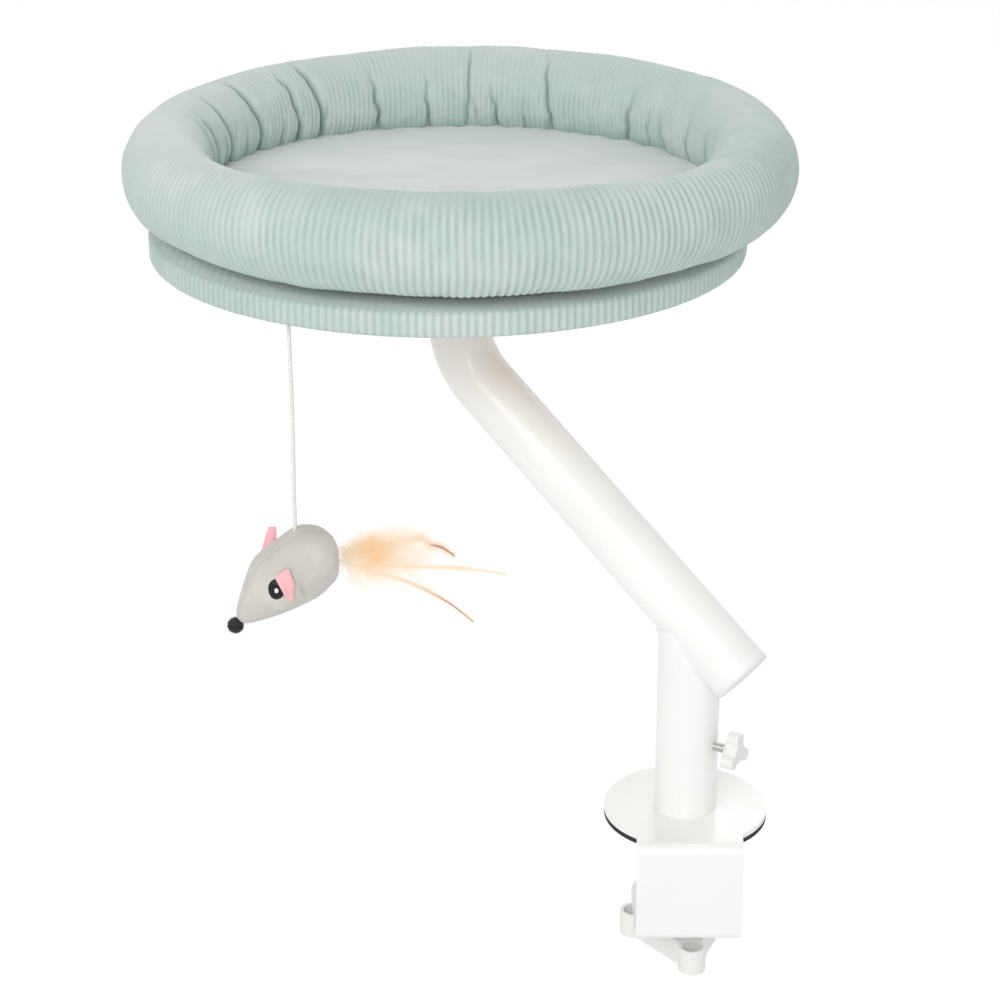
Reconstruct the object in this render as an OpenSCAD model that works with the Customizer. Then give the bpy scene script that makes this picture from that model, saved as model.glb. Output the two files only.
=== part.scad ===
// Cat bed on a swivelling arm, held to the edge of a desk by a screw clamp.
// Millimetres. The origin is the centre of the desk pad's underside, so the desk top is z = 0.
// The post stands on the Z axis, the clamp's front plate faces -Y, and the bed hangs out to the back left.

/* [Clamp plate] */
// Diameter of the disc that lies over the desk top
disc_d = 100; // [92:1:116]
// Thickness of the bent steel plate
plate_t = 3; // [2.5:0.25:4]
// Width of the tab that bends down and back under the desk
tab_w = 64; // [50:1:72]
// Distance from the post's axis to the inner face of the front plate
tab_reach = 50.6; // [46:0.2:60]
// Inside radius of both bends
bend_in_r = 3.5; // [2.5:0.25:5]
// Height of the throat, from the desk top down to the lower tongue
throat_h = 56.5; // [52:0.5:80]
// Thickness of the foam pad under the disc
pad_t = 3.4; // [2:0.2:5]

/* [Post and sleeve] */
// Outside diameter of the white tubes
tube_d = 38; // [32:1:44]
// Wall of the white tubes
tube_wall = 1.8; // [1.2:0.2:3]
// Height of the inner post above the disc
post_h = 72; // [55:1:80]
// Wall of the inner post
post_wall = 2.2; // [1.6:0.2:3]
// Radial running clearance between round pieces that turn in each other
run_gap = 0.05; // [0.02:0.01:0.1]

/* [Support arm] */
// Direction of the arm, turned from +X
arm_turn = 146; // [90:1:200]
// Height above the disc at which the arm's axis crosses the post's axis
cross_h = 126.2; // [118:0.2:150]
// Distance from the post's axis to the upright end of the arm
arm_reach = 168; // [140:1:200]
// Distance from the board's underside down to the corner of the arm's centreline
arm_drop = 69.8; // [66:0.2:100]
// Bend radius of the arm's centreline
arm_bend_r = 50; // [40:1:60]
// Length of the arm past the post's axis, with its end cap
arm_tail = 47.7; // [40:0.1:60]
// Thickness of the end cap's rim
cap_t = 2.6; // [2:0.2:4]
// Depth of the end cap's plug
cap_plug_l = 12; // [8:1:18]

/* [Thumb screw] */
// Height of the thumb screw above the disc
thumb_h = 45.2; // [35:0.2:60]
// Direction of the thumb screw, turned from +X
thumb_turn = -32; // [-60:1:0]
// Thread diameter of the thumb screw
stud_d = 6; // [5:0.5:8]
// Clear length of thread between the sleeve and the thumb knob
stud_bare = 9.5; // [6:0.5:14]
// Distance from the thumb knob's centre to each lobe's centre
thumb_lobe_ring = 8.4; // [7.5:0.2:12]
// Radius of a thumb knob lobe
thumb_lobe_r = 4; // [3.4:0.2:5.5]
// Thickness of the thumb knob
thumb_knob_t = 8; // [6:0.5:12]

/* [Clamp screw] */
// Thread diameter of the clamp screw
screw_d = 10; // [8:0.5:12]
// Gap left for the desk, from the desk pad to the foot
desk_gap = 24; // [16:0.5:30]
// Diameter of the pressure foot
foot_d = 46; // [36:1:54]
// Thickness of the pressure foot's plate
foot_t = 3; // [2:0.5:5]
// Height of the pressure foot's hub under its plate
foot_hub_h = 5; // [4:0.5:7]
// Thickness of the rubber on the pressure foot
foot_pad_t = 2; // [1.5:0.5:3]
// Distance from the lower tongue down to the clamp knob
knob_drop = 16.5; // [14:0.5:22]
// Distance from the clamp knob's centre to each lobe's centre
knob_lobe_ring = 32; // [28:0.5:40]
// Radius of a clamp knob lobe
knob_lobe_r = 8.5; // [7:0.5:10]
// Height of the clamp knob
knob_h = 16; // [12:0.5:22]
// Wall round each hollow lobe
knob_wall = 2.2; // [1.6:0.2:3]
// Direction of the clamp knob's front lobe, turned from +X
knob_turn = -82; // [-110:1:-60]

/* [Bed base] */
// Height of the bed's underside above the desk
bed_h = 335.5; // [325:0.5:380]
// Diameter of the board
board_d = 356.4; // [300:0.2:380]
// Thickness of the board
board_t = 12; // [9:0.5:15]
// How far the board's centre lies past the arm's upright end
board_out = 7.5; // [0:0.5:12]
// Thickness of the corduroy cover
cover_t = 1.5; // [1:0.1:2.5]
// Width of the cover's turned-in edge under the board
cover_turn_w = 30; // [26:1:50]
// Diameter of the steel flange on the arm's upright end
flange_d = 110; // [90:1:140]
// Thickness of the steel flange
flange_t = 3; // [2:0.5:5]
// Diameter of the circle of flange screws
screw_ring_d = 84; // [70:1:100]
// Shank diameter of a flange screw
wood_screw_d = 4; // [3:0.5:5]
// Length of a flange screw under its head's rim
wood_screw_l = 12; // [9:0.5:14]

/* [Cushion] */
// Outside diameter of the bolster ring
bolster_d = 400; // [380:1:420]
// Width of the bolster's section
bolster_w = 52.6; // [44:0.2:60]
// Height of the bolster's section
bolster_h = 57.6; // [48:0.2:66]
// Height of the bolster's underside above the base
bolster_lift = 8; // [6:0.5:12]
// Thickness of the floor pad at its middle
floor_t = 20; // [18:0.5:26]
// Drop of the floor pad's top from its middle to its edge
floor_crown = 3.5; // [1:0.5:6]
// How far the cushion sits back towards the post from the board's centre
cushion_back = 5.3; // [0:0.1:8]
// How far the cushion sits to the side of the board's centre
cushion_side = -3.6; // [-6:0.1:6]
// Depth of the gathers along the bolster's inner seam
gather_depth = 3; // [0.5:0.25:5]
// Thickness of each half of the hook-and-loop patches
patch_t = 1; // [0.6:0.1:1.5]
// Length of a hook-and-loop patch
patch_l = 50; // [30:1:70]
// Width of a hook-and-loop patch
patch_w = 20; // [15:1:25]

/* [Toy] */
// Distance from the board's rim in to the toy's string
toy_inset = 22; // [18:0.5:28]
// Diameter of the toy's string
string_d = 2.2; // [1.6:0.1:3]
// Radius of the knots at the string's ends
knot_r = 2.4; // [2:0.1:3.5]
// Wire diameter of the staple that holds the string
staple_d = 1.2; // [1:0.1:1.6]
// Width of the staple between its legs' centres
staple_w = 10; // [9:0.5:14]
// Turn of the mouse about its string
toy_turn = 17; // [-40:1:40]
// Roll of the mouse about its own length
toy_roll = 20; // [-30:1:40]
// Greatest half width of the mouse's body
mouse_r = 20.5; // [18:0.5:24]
// Radius of the mouse's pompom nose
nose_r = 5; // [3.5:0.25:6]
// Half height of a mouse eye
eye_r = 6; // [4:0.25:6.5]
// Thickness of a mouse eye
eye_t = 1.6; // [1.2:0.1:2.5]
// Length of a mouse ear
ear_l = 19; // [14:0.5:24]
// Width of a mouse ear
ear_w = 12; // [9:0.5:16]
// Thickness of a mouse ear
ear_t = 1.6; // [1:0.1:2.4]
// Length of the longest tail feather
feather_l = 112; // [80:1:130]
// Width of the fluffy part of the tail
fluff_w = 30; // [20:1:40]
// Thickness of the fluffy part of the tail
fluff_t = 9; // [6:1:24]

/* [Hidden] */
$fn = 96;

// Overrun of every cut past the face it leaves
over = 1;
// Gap round soft pieces and between pieces that only touch
soft_gap = 0.3;

// Clamp
disc_z = pad_t;
disc_top = disc_z + plate_t;
bend_out_r = bend_in_r + plate_t;
bend_y = -tab_reach + bend_in_r;
tongue_top = -throat_h;
tongue_z = tongue_top - plate_t;
nut_r = screw_d * 0.85;
nut_flange_r = screw_d * 1.25;
nut_flange_t = plate_t * 0.6;
nut_rise = plate_t * 1.4;
nut_top = tongue_top + nut_rise;
foot_top = -desk_gap;
foot_plate_top = foot_top - foot_pad_t;
foot_plate_z = foot_plate_top - foot_t;
foot_hub_z = foot_plate_z - foot_hub_h;
foot_hub_r = screw_d * 0.9;
foot_recess = foot_hub_h * 0.9;
screw_tip_r = screw_d * 0.32;
washer_t = foot_hub_h * 0.24;
washer_z = foot_hub_z - washer_t;
washer_r = screw_d * 0.8;
knob_top = tongue_z - knob_drop;
knob_z = knob_top - knob_h;
knob_floor = knob_h * 0.2;
knob_hub_r = knob_lobe_ring * 0.42;
knob_hub_rise = knob_drop * 0.12;
knob_socket = knob_h * 0.7;
web_share = 0.45;

// Post, sleeve and arm
tube_r = tube_d / 2;
tube_in_r = tube_r - tube_wall;
post_r = tube_in_r - run_gap;
cross_z = disc_top + cross_h;
flange_top = bed_h + cover_t;
flange_z = flange_top - flange_t;
corner_z = flange_top - arm_drop;
// Lean of the arm from vertical, which takes it from the post up to its corner under the bed
arm_tilt = atan2(arm_reach, corner_z - cross_z);
tangent_l = arm_bend_r * tan(arm_tilt / 2);
straight_l = arm_reach / sin(arm_tilt) - tangent_l;
bend_top_z = corner_z + tangent_l;
stub_l = flange_z - bend_top_z;
tail_l = arm_tail - cap_t;

// Thumb screw
stud_r = stud_d / 2;
thumb_z = disc_top + thumb_h;
stud_start = post_r + run_gap * 2;
thumb_knob_x = tube_r + stud_bare;
stud_l = thumb_knob_x - stud_start + thumb_knob_t * 0.6;

// Bed base
board_x = arm_reach + board_out;
board_z = bed_h + cover_t;
board_r = board_d / 2;
cover_in_r = board_r + soft_gap;
cover_r = cover_in_r + cover_t;
base_top = board_z + board_t + soft_gap + cover_t;
cover_edge_r = cover_t * 1.8;
screw_head_r = wood_screw_d;
screw_head_t = wood_screw_d * 0.55;

// Cushion
cushion_z = base_top + patch_t * 2;
bolster_rx = bolster_w / 2;
bolster_rz = bolster_h / 2;
ring_r = bolster_d / 2 - bolster_rx;
ring_z = base_top + bolster_lift + bolster_rz;
gathers = 26;
bolster_swell_share = 0.025;
bolster_out_rx = bolster_rx * (1 + bolster_swell_share) + soft_gap;
bolster_out_rz = bolster_rz + soft_gap;
ring_steps = 88;
ring_sides = 14;
patch_place_share = 0.66;
patch_count = 4;

// Toy: places in millimetres from the string's staple
toy_x = board_x;
toy_y = board_r - toy_inset;
pivot_drop = staple_d * 1.8;
knot_drop = staple_d / 2 + soft_gap + knot_r;
// The string's route, from the staple's centre down to the mouse's back
string_route = [
    [0, 0, -5.7], [0, 0, -10], [0.1, 0, -20], [0.2, 0.1, -30], [0.3, 0.1, -40], [0.4, 0.2, -50],
    [0.4, 0.2, -60], [0.4, 0.1, -70], [0.3, 0.1, -80], [0.2, 0, -90], [0.1, 0, -100], [0, 0, -110],
    [0, 0, -120], [0, 0, -129.7]
];
string_sides = 8;
end_knot_r = knot_r * 0.8;
toy_drop = end_knot_r - string_route[len(string_route) - 1].z;
// The mouse, from its rump to its snout: the line of its middle and its girth
mouse_axis_shares = [
    [1.18, -0.88], [1.16, -0.87], [1.08, -0.84], [0.86, -0.77], [0.53, -0.79], [0.17, -1.0],
    [-0.2, -1.25], [-0.55, -1.51], [-0.89, -1.83], [-1.26, -2.2], [-1.54, -2.47], [-1.68, -2.61]
];
mouse_girth_shares = [0.2, 0.41, 0.63, 0.85, 0.99, 1.03, 1.03, 0.97, 0.79, 0.54, 0.32, 0.14];
mouse_sides = 20;
mouse_width_share = 0.94;
// The head: where the eyes and ears sit along its line, and how far round from the middle of its top
eye_place_shares = [-0.6, -1.68];
eye_round = 58;
ear_place_shares = [-0.37, -1.41];
ear_round = 72;
head_lean = 45;
// The tail's fluff: its middle line and its half width from the rump out
fluff_axis_shares = [
    [1.1, -0.92], [1.3, -0.96], [1.65, -1.02], [2.15, -1.11], [2.7, -1.24], [3.2, -1.37],
    [3.7, -1.5], [4.1, -1.58]
];
fluff_girth_shares = [0.35, 0.62, 0.9, 1.0, 0.94, 0.7, 0.42, 0.16];
fluff_sides = 12;
// Tips of the long feathers, the way each one bends and its width, as shares of the longest one
plume_shares = [
    [[0.88, 0.02, -0.26], 0.05, 0.075], [[1.19, -0.03, -0.4], 0.04, 0.06],
    [[1.0, 0.04, -0.7], 0.12, 0.07]
];
plume_root_share = [0.44, 0, -0.23];
plume_steps = 9;
plume_sides = 6;
plume_t = ear_t * 0.6;

// Rows of points joined into one closed skin, each row a ring of n points
function skin_faces(rows, n) = concat(
    [for (j = [1 : n - 2]) [0, j, j + 1]],
    [for (i = [0 : rows - 2], j = [0 : n - 1], k = [0, 1])
        let (a = i * n + j, b = i * n + (j + 1) % n)
        k == 0 ? [a, a + n, b] : [b, a + n, b + n]],
    [for (j = [1 : n - 2]) let (s = (rows - 1) * n) [s, s + j + 1, s + j]]
);
function loop_faces(rows, n) = [
    for (i = [0 : rows - 1], j = [0 : n - 1], k = [0, 1])
        let (a = i * n + j, b = i * n + (j + 1) % n, c = ((i + 1) % rows) * n)
        k == 0 ? [a, c + j, b] : [b, c + j, c + (j + 1) % n]
];
function unit(v) = v / norm(v);
function flat(rows) = [for (row = rows, p = row) p];

// A ring of n points round c, square to the direction d, with half sizes a and b
function ring(c, d, a, b, n) =
    let (u = unit(cross(d, [0, 1, 0])), v = unit(cross(d, u)))
    [for (j = [0 : n - 1]) c + u * a * cos(360 * j / n) + v * b * sin(360 * j / n)];
function route_dir(p, i) = unit(p[min(i + 1, len(p) - 1)] - p[max(i - 1, 0)]);

// Anything that rides with the arm is drawn with +X pointing out along it
module on_arm() {
    rotate([0, 0, arm_turn]) children();
}

module at_cushion(z) {
    on_arm() translate([board_x - cushion_back, cushion_side, z]) children();
}

// The toy hangs level with the row's own axes, whatever way the arm points
module at_toy(z) {
    on_arm() translate([toy_x, toy_y, bed_h + z]) rotate([0, 0, -arm_turn]) children();
}

module quarter_bend(z, lower) {
    intersection() {
        translate([-tab_w / 2, bend_y, z]) rotate([0, 90, 0]) difference() {
            cylinder(r = bend_out_r, h = tab_w);
            translate([0, 0, -over]) cylinder(r = bend_in_r, h = tab_w + over * 2);
        }
        translate([-tab_w / 2, bend_y - bend_out_r, lower ? z - bend_out_r : z])
            cube([tab_w, bend_out_r, bend_out_r]);
    }
}

module clamp_bracket() {
    color([0.95, 0.95, 0.95]) difference() {
        union() {
            translate([0, 0, disc_z]) cylinder(d = disc_d, h = plate_t);
            translate([-tab_w / 2, bend_y, disc_z]) cube([tab_w, -bend_y, plate_t]);
            quarter_bend(disc_z - bend_in_r, false);
            translate([-tab_w / 2, bend_y - bend_out_r, tongue_top + bend_in_r])
                cube([tab_w, plate_t, disc_z - tongue_top - bend_in_r * 2]);
            quarter_bend(tongue_top + bend_in_r, true);
            translate([-tab_w / 2, bend_y, tongue_z]) cube([tab_w, -bend_y, plate_t]);
            translate([0, 0, tongue_z]) cylinder(d = tab_w, h = plate_t);
        }
        translate([0, 0, tongue_z - over]) cylinder(r = nut_r, h = plate_t + over * 2);
    }
}

module desk_pad() {
    color([0.12, 0.12, 0.12]) intersection() {
        cylinder(d = disc_d, h = pad_t);
        translate([-disc_d, bend_y + soft_gap, 0]) cube([disc_d * 2, disc_d * 2, pad_t]);
    }
}

module inner_post() {
    color([0.75, 0.76, 0.78]) translate([0, 0, disc_top]) difference() {
        cylinder(r = post_r, h = post_h);
        translate([0, 0, -over]) cylinder(r = post_r - post_wall, h = post_h + over * 2);
    }
}

module clamp_nut() {
    color([0.75, 0.76, 0.78]) difference() {
        union() {
            translate([0, 0, tongue_z]) cylinder(r = nut_r, h = plate_t + nut_rise);
            translate([0, 0, tongue_z - nut_flange_t]) cylinder(r = nut_flange_r, h = nut_flange_t);
        }
        translate([0, 0, tongue_z - nut_flange_t - over])
            cylinder(r = screw_d / 2 + run_gap, h = plate_t + nut_rise + nut_flange_t + over * 2);
    }
}

module swivel_foot() {
    color([0.95, 0.95, 0.95]) difference() {
        union() {
            translate([0, 0, foot_plate_z]) cylinder(d = foot_d, h = foot_t);
            translate([0, 0, foot_hub_z]) cylinder(r = foot_hub_r, h = foot_hub_h);
        }
        translate([0, 0, foot_hub_z - over])
            cylinder(r = screw_tip_r + run_gap, h = foot_recess + over);
    }
}

module foot_pad() {
    color([0.12, 0.12, 0.12]) translate([0, 0, foot_plate_top]) cylinder(d = foot_d, h = foot_pad_t);
}

module thrust_washer() {
    color([0.6, 0.6, 0.62]) translate([0, 0, washer_z]) difference() {
        cylinder(r = washer_r, h = washer_t);
        translate([0, 0, -over]) cylinder(r = screw_tip_r + run_gap, h = washer_t + over * 2);
    }
}

module clamp_screw() {
    tip_top = foot_hub_z + foot_recess - soft_gap;
    screw_z = knob_top - knob_socket;
    color([0.75, 0.76, 0.78]) {
        translate([0, 0, screw_z]) cylinder(d = screw_d, h = washer_z - screw_z);
        translate([0, 0, washer_z]) cylinder(r = screw_tip_r, h = tip_top - washer_z);
    }
}

// Three round lobes joined by straight webs, standing on z = 0
module lobe_plate(lobe_ring, lobe_r, h) {
    linear_extrude(h) union() {
        for (a = [0 : 120 : 359]) translate(lobe_ring * [cos(a), sin(a)]) circle(r = lobe_r);
        polygon([
            for (a = [0 : 120 : 359], s = [-60, 60])
                lobe_ring * [cos(a), sin(a)] + web_share * lobe_r * [cos(a + s), sin(a + s)]
        ]);
    }
}

module clamp_knob() {
    color([0.93, 0.93, 0.92]) translate([0, 0, knob_z]) rotate([0, 0, knob_turn]) difference() {
        union() {
            lobe_plate(knob_lobe_ring, knob_lobe_r, knob_h);
            cylinder(r = knob_hub_r, h = knob_h + knob_hub_rise);
        }
        for (a = [0 : 120 : 359])
            rotate([0, 0, a]) translate([knob_lobe_ring, 0, knob_floor])
                cylinder(r = knob_lobe_r - knob_wall, h = knob_h);
        translate([0, 0, knob_h - knob_socket]) cylinder(r = screw_d / 2 + run_gap, h = knob_h);
    }
}

// A straight length of the arm's tube
module pipe(l) {
    linear_extrude(l) difference() {
        circle(r = tube_r);
        circle(r = tube_in_r);
    }
}

// One bent tube, drawn from its bend: the long leg runs down past the post, the short one up to the bed
module support_arm() {
    color([0.95, 0.95, 0.95]) on_arm() translate([arm_reach - arm_bend_r, 0, bend_top_z])
        rotate([90, 0, 0]) rotate([0, 0, -arm_tilt]) {
            rotate_extrude(angle = arm_tilt) translate([arm_bend_r, 0]) difference() {
                circle(r = tube_r);
                circle(r = tube_in_r);
            }
            translate([arm_bend_r, 0, 0]) rotate([90, 0, 0]) pipe(tail_l + straight_l);
            rotate([0, 0, arm_tilt]) translate([arm_bend_r, 0, 0]) rotate([-90, 0, 0]) pipe(stub_l);
        }
}

module upright_sleeve() {
    color([0.95, 0.95, 0.95]) difference() {
        translate([0, 0, disc_top]) cylinder(r = tube_r, h = cross_h);
        translate([0, 0, disc_top - over]) cylinder(r = tube_in_r, h = cross_h + over * 2);
        on_arm() translate([0, 0, cross_z]) rotate([0, arm_tilt, 0])
            translate([0, 0, -tube_d * 2]) cylinder(r = tube_r + run_gap, h = tube_d * 4);
        translate([0, 0, thumb_z]) rotate([0, 90, thumb_turn]) cylinder(r = stud_r + run_gap, h = tube_d);
    }
}

module arm_end_cap() {
    edge = cap_t * 0.48;
    color([0.93, 0.93, 0.93]) on_arm() translate([0, 0, cross_z]) rotate([0, arm_tilt, 0])
        translate([0, 0, -arm_tail]) difference() {
            union() {
                rotate_extrude() union() {
                    square([tube_r - edge, cap_t]);
                    translate([0, edge]) square([tube_r, cap_t - edge]);
                    translate([tube_r - edge, edge]) circle(r = edge);
                }
                translate([0, 0, cap_t]) cylinder(r = tube_in_r - run_gap, h = cap_plug_l);
            }
            translate([0, 0, cap_t]) cylinder(r = tube_in_r - tube_wall * 1.5, h = cap_plug_l + over);
        }
}

module at_flange_screws() {
    on_arm() translate([arm_reach, 0, 0])
        for (a = [45 : 90 : 359])
            rotate([0, 0, a]) translate([screw_ring_d / 2, 0, 0]) children();
}

module mount_flange() {
    color([0.93, 0.93, 0.93]) difference() {
        on_arm() translate([arm_reach, 0, flange_z]) cylinder(d = flange_d, h = flange_t);
        at_flange_screws() translate([0, 0, flange_z - over])
            cylinder(d = wood_screw_d + run_gap * 2, h = flange_t + over * 2);
    }
}

module flange_screws() {
    color([0.7, 0.71, 0.73]) at_flange_screws() {
        translate([0, 0, flange_z - screw_head_t]) cylinder(r = screw_head_r, h = screw_head_t);
        translate([0, 0, flange_z]) cylinder(d = wood_screw_d, h = wood_screw_l);
    }
}

module thumb_stud() {
    color([0.7, 0.71, 0.73]) translate([0, 0, thumb_z]) rotate([0, 90, thumb_turn])
        translate([0, 0, stud_start]) cylinder(r = stud_r, h = stud_l);
}

module thumb_knob() {
    color([0.94, 0.94, 0.94]) translate([0, 0, thumb_z]) rotate([0, 90, thumb_turn])
        translate([0, 0, thumb_knob_x]) rotate([0, 0, 180]) difference() {
            union() {
                lobe_plate(thumb_lobe_ring, thumb_lobe_r, thumb_knob_t);
                translate([0, 0, -thumb_knob_t * 0.15])
                    cylinder(r = thumb_lobe_ring * 0.7, h = thumb_knob_t);
            }
            translate([0, 0, -thumb_knob_t]) cylinder(r = stud_r + run_gap, h = thumb_knob_t * 1.65);
        }
}

module base_board() {
    color([0.72, 0.6, 0.45]) difference() {
        on_arm() translate([board_x, 0, board_z]) cylinder(r = board_r, h = board_t);
        at_flange_screws() translate([0, 0, board_z - over])
            cylinder(d = wood_screw_d + run_gap * 2, h = wood_screw_l - flange_t + soft_gap + over);
    }
}

// The cover's section: top, rounded rim, side and the edge turned in under the board
module base_cover() {
    h = base_top - bed_h;
    e = cover_edge_r;
    color([0.72, 0.81, 0.78]) on_arm() translate([board_x, 0, bed_h]) rotate_extrude() difference() {
        union() {
            square([cover_r - e, h]);
            translate([0, e]) square([cover_r, h - e * 2]);
            translate([cover_r - e, e]) circle(r = e);
            translate([cover_r - e, h - e]) circle(r = e);
        }
        translate([0, cover_t]) square([cover_in_r, board_t + soft_gap]);
        translate([0, -over]) square([cover_r - cover_turn_w, cover_t + over * 2]);
    }
}

module patches(z) {
    on_arm() translate([board_x - cushion_back, cushion_side, z])
        for (a = [0 : 360 / patch_count : 359])
            rotate([0, 0, a]) translate([board_r * patch_place_share, 0, 0])
                translate([-patch_w / 2, -patch_l / 2, 0]) cube([patch_w, patch_l, patch_t]);
}

module hook_patches() {
    color([0.9, 0.92, 0.9]) patches(base_top);
}

module loop_patches() {
    color([0.86, 0.89, 0.87]) patches(base_top + patch_t);
}

// The floor pad's edge is drawn in to lie against the bolster's lower inner side
module floor_pad() {
    steps = 12;
    edge_r = ring_r - bolster_rx * 0.3;
    top_r = ring_r - bolster_rx * 0.68;
    color([0.82, 0.85, 0.83]) at_cushion(cushion_z) difference() {
        rotate_extrude() polygon(concat(
            [[0, 0], [edge_r, 0]],
            [for (i = [0 : steps]) let (x = top_r * (1 - i / steps), s = x / top_r)
                [x, floor_t - floor_crown * s * s]]
        ));
        rotate_extrude() translate([0, ring_z - cushion_z]) polygon([
            for (i = [0 : 47]) [
                ring_r + bolster_out_rx * cos(i * 7.5),
                bolster_out_rz * sin(i * 7.5)
            ]
        ]);
    }
}

// How deep the gathers draw the cloth in at angle a round the ring, from 0 to 1
function gather(a) = pow(0.5 + 0.5 * cos(gathers * a + 40 * sin(3 * a)), 3);

// A point of the bolster's skin: a round the ring, t round its section
function bolster_point(a, t) =
    let (
        seam = pow(max(0, cos(t - 215)), 2),
        dent = gather_depth * gather(a) * seam,
        swell = 1 + bolster_swell_share * (0.6 * sin(2 * a + 30) + 0.4 * sin(5 * a)),
        x = ring_r + (bolster_rx * swell - dent) * cos(t),
        z = (bolster_rz - dent) * sin(t)
    )
    [x * cos(a), x * sin(a), z];

module bolster_ring() {
    rows = [for (i = [0 : ring_steps - 1]) [
        for (j = [0 : ring_sides - 1]) bolster_point(360 * i / ring_steps, 360 * j / ring_sides)
    ]];
    color([0.7, 0.8, 0.77]) at_cushion(ring_z)
        polyhedron(points = flat(rows), faces = loop_faces(ring_steps, ring_sides));
}

module string_staple() {
    leg = pivot_drop + cover_t + board_t * 0.4;
    color([0.7, 0.71, 0.73]) at_toy(-pivot_drop) {
        translate([0, -staple_w / 2 - staple_d / 2, 0]) rotate([-90, 0, 0])
            cylinder(d = staple_d, h = staple_w + staple_d);
        for (s = [-1, 1]) translate([0, s * staple_w / 2, 0]) cylinder(d = staple_d, h = leg);
    }
}

module string_top_knot() {
    color([0.96, 0.96, 0.95]) at_toy(-pivot_drop - knot_drop) sphere(r = knot_r);
}

module toy_string() {
    rows = [for (i = [0 : len(string_route) - 1])
        ring(string_route[i], route_dir(string_route, i), string_d / 2, string_d / 2, string_sides)];
    color([0.96, 0.96, 0.95]) at_toy(-pivot_drop)
        polyhedron(points = flat(rows), faces = skin_faces(len(rows), string_sides));
}

module at_mouse() {
    at_toy(-pivot_drop - toy_drop) rotate([0, 0, toy_turn]) children();
}

module string_end_knot() {
    color([0.96, 0.96, 0.95]) at_mouse() sphere(r = end_knot_r);
}

function mouse_axis(i) = mouse_r * [mouse_axis_shares[i][0], 0, mouse_axis_shares[i][1]];

module loft(spine, widths, depth_share, sides) {
    rows = [for (i = [0 : len(spine) - 1])
        ring(spine[i], route_dir(spine, i), widths[i], widths[i] * depth_share, sides)];
    polyhedron(points = flat(rows), faces = skin_faces(len(rows), sides));
}

module mouse_shape() {
    spine = [for (i = [0 : len(mouse_axis_shares) - 1]) mouse_axis(i)];
    loft(spine, mouse_r * mouse_girth_shares, mouse_width_share, mouse_sides);
}

module mouse_body() {
    color([0.79, 0.78, 0.76]) at_mouse() difference() {
        mouse_shape();
        sphere(r = end_knot_r + soft_gap);
    }
}

module mouse_nose() {
    color([0.05, 0.05, 0.05]) at_mouse() difference() {
        translate(mouse_axis(len(mouse_axis_shares) - 1) + nose_r * [-0.6, 0, -0.6]) sphere(r = nose_r);
        mouse_shape();
    }
}

// A place on the head's skin, turned round from the middle of its top, with +Z pointing out of it
module on_head(place_shares, turn, out) {
    translate(mouse_r * [place_shares[0], 0, place_shares[1]]) rotate([0, -head_lean, 0])
        rotate([turn + toy_roll, 0, 0]) translate([0, 0, out]) children();
}

// Both round buttons, each on its cheek, with the given space round them
module eye_discs(space) {
    for (turn = [-eye_round, eye_round])
        on_head(eye_place_shares, turn, mouse_r * mouse_width_share - eye_t)
            cylinder(r = eye_r + space, h = eye_t * 1.4 + space);
}

// The eyes, cut to the head's curve
module mouse_eyes() {
    color([0.05, 0.05, 0.05]) at_mouse() difference() {
        eye_discs(0);
        mouse_shape();
    }
}

// A pointed leaf of felt, standing on its tip, with its flat sides along the head
module ear_leaf() {
    arc_r = (ear_l * ear_l / ear_w + ear_w) / 4;
    arc_x = arc_r - ear_w / 2;
    translate([0, ear_t / 2, ear_l / 2]) rotate([90, 0, 0]) intersection() {
        translate([-arc_x, 0, 0]) cylinder(r = arc_r, h = ear_t);
        translate([arc_x, 0, 0]) cylinder(r = arc_r, h = ear_t);
    }
}

// The near ear lies over against the cheek and the far one stands up
module mouse_ears() {
    out = mouse_r * mouse_width_share - ear_t;
    color([0.93, 0.62, 0.66]) at_mouse() difference() {
        union() {
            on_head(ear_place_shares, ear_round, out) rotate([-62, 0, 0]) ear_leaf();
            on_head(ear_place_shares, -ear_round, out) rotate([0, 35, 0]) ear_leaf();
        }
        mouse_shape();
        eye_discs(soft_gap);
    }
}

module fluff_shape() {
    spine = [for (p = fluff_axis_shares) mouse_r * [p[0], 0, p[1]]];
    loft(spine, fluff_w / 2 * fluff_girth_shares, fluff_t / fluff_w, fluff_sides);
}

module feather_fluff() {
    color([0.96, 0.82, 0.7]) at_mouse() difference() {
        fluff_shape();
        mouse_shape();
    }
}

// A flat blade that bends down to its tip and narrows at both ends
module plume(tip, sag, width) {
    spine = [for (i = [0 : plume_steps]) let (t = i / plume_steps)
        feather_l * (plume_root_share + t * (tip - plume_root_share) + [0, 0, sag * 4 * t * (1 - t)])];
    widths = [for (i = [0 : plume_steps]) let (t = i / plume_steps)
        feather_l * width * (0.12 + 0.88 * sin(180 * pow(t, 0.8)))];
    rows = [for (i = [0 : plume_steps]) let (u = route_dir(spine, i))
        ring(spine[i], u, widths[i] / 2, plume_t / 2, plume_sides)];
    polyhedron(points = flat(rows), faces = skin_faces(len(rows), plume_sides));
}

module feather_plumes() {
    color([0.95, 0.88, 0.78]) at_mouse() difference() {
        for (p = plume_shares) plume(p[0], p[1], p[2]);
        fluff_shape();
    }
}

clamp_bracket();
desk_pad();
inner_post();
clamp_nut();
swivel_foot();
foot_pad();
thrust_washer();
clamp_screw();
clamp_knob();
upright_sleeve();
support_arm();
arm_end_cap();
mount_flange();
flange_screws();
thumb_stud();
thumb_knob();
base_board();
base_cover();
hook_patches();
loop_patches();
floor_pad();
bolster_ring();
string_staple();
string_top_knot();
toy_string();
string_end_knot();
mouse_body();
mouse_nose();
mouse_eyes();
mouse_ears();
feather_fluff();
feather_plumes();
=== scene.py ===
import math
import random

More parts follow.
